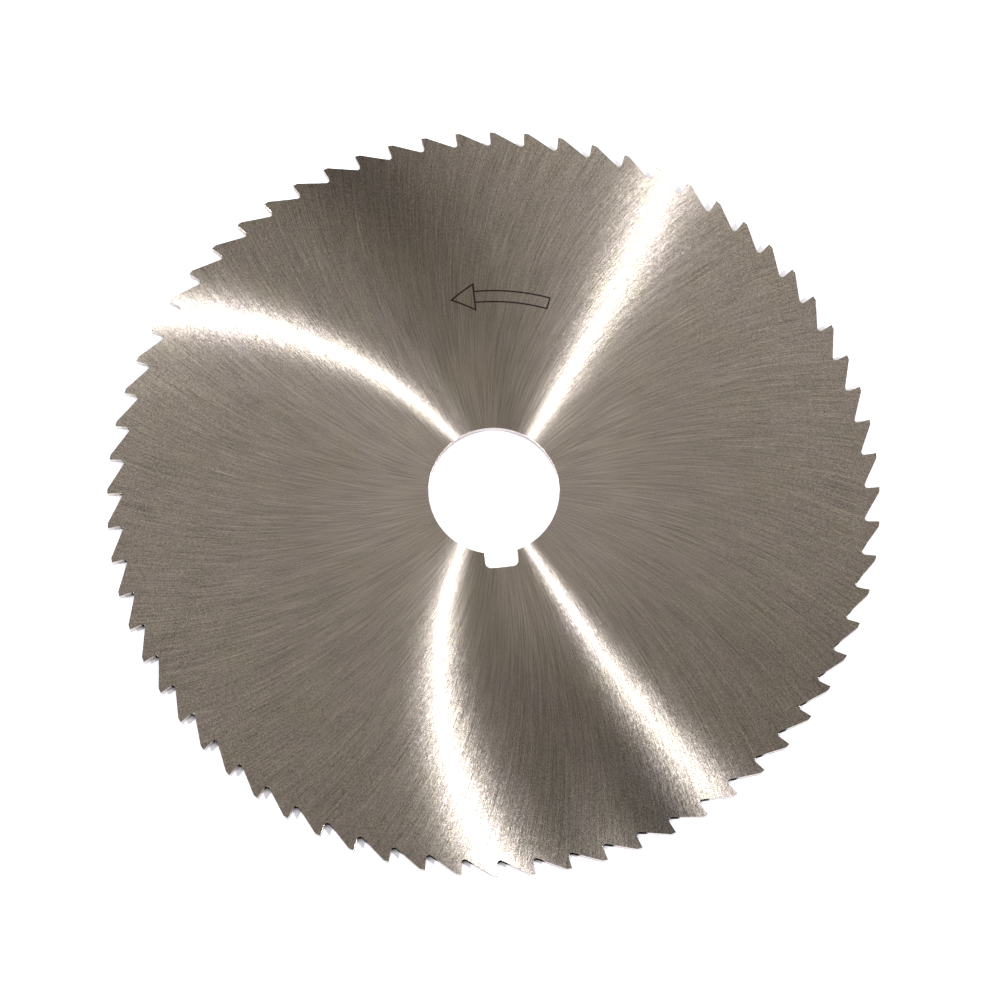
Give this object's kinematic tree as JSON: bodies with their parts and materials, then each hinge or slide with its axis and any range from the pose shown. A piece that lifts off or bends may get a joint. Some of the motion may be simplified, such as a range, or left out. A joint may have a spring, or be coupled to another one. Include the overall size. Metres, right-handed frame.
{
  "type": "slitting saw",
  "caption": "Thin flat ring of ground steel with hooked teeth round its edge and a keyed bore, turned on an arbor to cut narrow slots or part off metal.",
  "frame": {"origin": "on the bore's axis, at the height of the lower rim face that the saw lies on", "axes": "+Z along the bore's axis, away from the lower side; the keyway points to -Y; seen from +Z the teeth cut counterclockwise"},
  "size_m": [0.15, 0.15, 0.002],
  "materials": {
    "ground_steel": "bright tool steel, ground on both sides in fine curved lines that sweep out from the bore"
  },
  "bodies": {
    "root": {"saw_blade": "ground_steel"}
  },
  "joints": []
}
